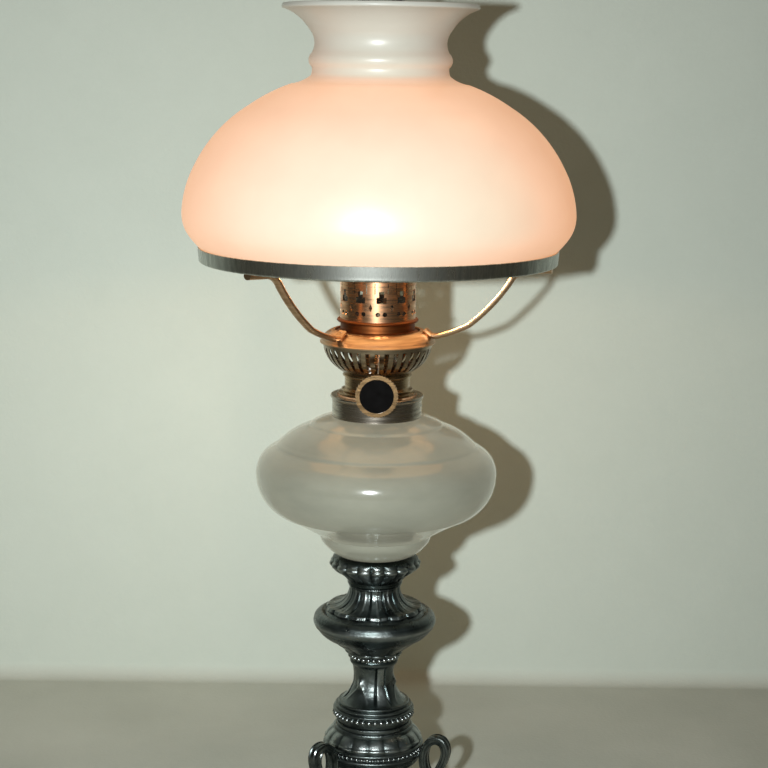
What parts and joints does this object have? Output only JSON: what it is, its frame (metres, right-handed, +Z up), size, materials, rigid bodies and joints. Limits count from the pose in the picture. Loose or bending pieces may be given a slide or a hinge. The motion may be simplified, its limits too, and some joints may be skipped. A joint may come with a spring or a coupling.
{
  "type": "oil table lamp",
  "caption": "Paraffin table lamp with a cast baluster stem, glass font, round-wick burner, glass chimney and an opal glass shade on an armed ring.",
  "frame": {"origin": "centre of the foot's underside, on the lamp's axis", "axes": "+Z up along the lamp's axis, the winding knob towards -Y"},
  "size_m": [0.2578, 0.2578, 0.6213],
  "materials": {
    "cast_metal": "dark patinated casting, burnished on the high spots",
    "steel": "plain steel",
    "felt": "green-black felt",
    "plaster": "set plaster",
    "font_glass": "milky translucent grey-green glass",
    "collar_metal": "worn nickel plate",
    "cork": "pressed cork",
    "burner_metal": "nickel-plated brass, warm in the lamp's light",
    "black_enamel": "glossy black, bare",
    "wick_cotton": "woven cotton",
    "holder_metal": "nickel-plated brass worn to copper tones",
    "ring_metal": "brushed nickel plate",
    "opal_glass": "glossy opal glass, lit from inside",
    "clear_glass": "clear glass"
  },
  "bodies": {
    "stand": {"base_casting": "cast_metal", "stem_knop": "cast_metal", "lower_stem": "cast_metal", "drip_saucer": "cast_metal", "upper_stem": "cast_metal", "crown_cup": "cast_metal", "scroll_bracket_1": "cast_metal", "scroll_bracket_2": "cast_metal", "scroll_bracket_3": "cast_metal", "tie_rod": "steel", "base_nut": "steel", "base_washer": "steel", "crown_nut": "steel", "bracket_screws": "steel", "bracket_pins": "steel", "base_felt": "felt", "font_plaster": "plaster", "collar_plaster": "plaster", "font_glass": "font_glass", "font_collar": "collar_metal"},
    "seal": {"seal_washer": "cork"},
    "burner": {"burner_base": "burner_metal", "air_basket": "burner_metal", "burner_deck": "burner_metal", "chimney_gallery": "burner_metal", "air_plate": "burner_metal", "outer_wick_tube": "burner_metal", "inner_air_tube": "burner_metal", "shaft_bushing": "burner_metal", "shaft_bearing": "burner_metal"},
    "winder": {"raiser_shaft": "steel", "raiser_pinion": "steel", "knob_rim": "burner_metal", "knob_disc": "black_enamel"},
    "wick_slide": {"wick": "wick_cotton", "wick_carrier": "burner_metal", "wick_rack": "steel"},
    "chimney": {"chimney_glass": "clear_glass"},
    "holder": {"holder_seat": "holder_metal", "holder_arm_1": "holder_metal", "holder_arm_2": "holder_metal", "holder_arm_3": "holder_metal", "arm_rivets": "holder_metal", "shade_ring": "ring_metal"},
    "shade": {"shade_glass": "opal_glass"}
  },
  "joints": [
    {"name": "burner_rise", "type": "slide", "parent": "stand", "child": "seal", "axis": [0, 0, 1], "range_m": [0, 0.0061]},
    {"name": "burner_turn", "type": "hinge", "parent": "seal", "child": "burner", "pos_m": [0, 0, 0.3154], "axis": [0, 0, 1], "range_deg": [0, 1440]},
    {"name": "knob_turn", "type": "hinge", "parent": "burner", "child": "winder", "pos_m": [0, -0.03, 0.3224], "axis": [0, 1, 0], "range_deg": [-95, 47]},
    {"name": "wick_lift", "type": "slide", "parent": "burner", "child": "wick_slide", "axis": [0, 0, 1], "range_m": [-0.008, 0.004]},
    {"name": "chimney_lift", "type": "slide", "parent": "burner", "child": "chimney", "axis": [0, 0, 1], "range_m": [0, 0.21]},
    {"name": "holder_lift", "type": "slide", "parent": "burner", "child": "holder", "axis": [0, 0, 1], "range_m": [0, 0.275]},
    {"name": "shade_lift", "type": "slide", "parent": "holder", "child": "shade", "axis": [0, 0, 1], "range_m": [0, 0.22]}
  ],
  "couplings": [
    {"joint": "burner_rise", "follows": "burner_turn", "m_per_rad": 0.00023873},
    {"joint": "wick_lift", "follows": "knob_turn", "m_per_rad": 0.0048}
  ]
}
